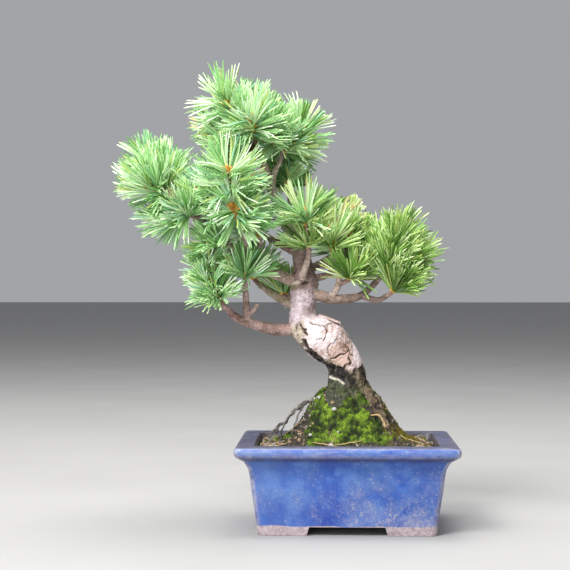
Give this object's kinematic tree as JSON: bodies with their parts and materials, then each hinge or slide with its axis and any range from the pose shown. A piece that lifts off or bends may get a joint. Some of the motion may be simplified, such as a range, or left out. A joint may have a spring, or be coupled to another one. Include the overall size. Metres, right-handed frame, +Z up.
{
  "type": "japanese white pine bonsai",
  "caption": "Japanese white pine bonsai with a swollen graft on its leaning trunk, bare boughs and tufted blue-green needles, growing from a moss mound in a blue glazed rectangular pot.",
  "frame": {"origin": "on the ground, under the middle of the whole plant's bounding box", "axes": "+Z up, +X to the right of the front view, +Y away from the front view"},
  "size_m": [0.2642, 0.1534, 0.3511],
  "materials": {
    "glaze": "mottled blue glaze with pale mineral deposits",
    "soil": "damp granular",
    "moss": "soft matte",
    "bark": "flaking, pale pinkish grey over dark brown",
    "twig_bark": "rough pinkish brown",
    "root_bark": "rough dark brown",
    "needles": "waxy, blue-green with white bands"
  },
  "bodies": {
    "root": {"pot": "glaze", "soil": "soil", "moss": "moss", "exposed_root": "root_bark", "trunk": "bark", "bark_plate": "bark", "low_left_bough": "twig_bark", "left_upright_twig": "twig_bark", "pruned_stub": "twig_bark", "lichen_bough": "twig_bark", "left_bough": "twig_bark", "left_riser": "twig_bark", "far_left_bough": "twig_bark", "left_fork_twig": "twig_bark", "front_left_bough": "twig_bark", "front_twig": "twig_bark", "right_low_bough": "twig_bark", "right_low_twig": "twig_bark", "right_mid_bough": "twig_bark", "pale_twig": "twig_bark", "inner_right_twig": "twig_bark", "upper_right_bough": "twig_bark", "back_low_bough": "twig_bark", "back_right_bough": "twig_bark", "back_far_right_twig": "twig_bark", "back_left_bough": "twig_bark", "back_high_bough": "twig_bark", "apex_left_foliage": "needles", "apex_right_foliage": "needles", "far_left_foliage": "needles", "left_fork_foliage": "needles", "front_left_foliage": "needles", "left_tip_foliage": "needles", "left_riser_foliage": "needles", "low_left_foliage": "needles", "left_upright_foliage": "needles", "lichen_bough_foliage": "needles", "front_centre_foliage": "needles", "right_mid_foliage": "needles", "pale_twig_foliage": "needles", "inner_right_foliage": "needles", "far_right_foliage": "needles", "right_low_foliage": "needles", "back_low_foliage": "needles", "back_right_foliage": "needles", "back_far_right_foliage": "needles", "back_left_foliage": "needles", "back_high_foliage": "needles"}
  },
  "joints": []
}
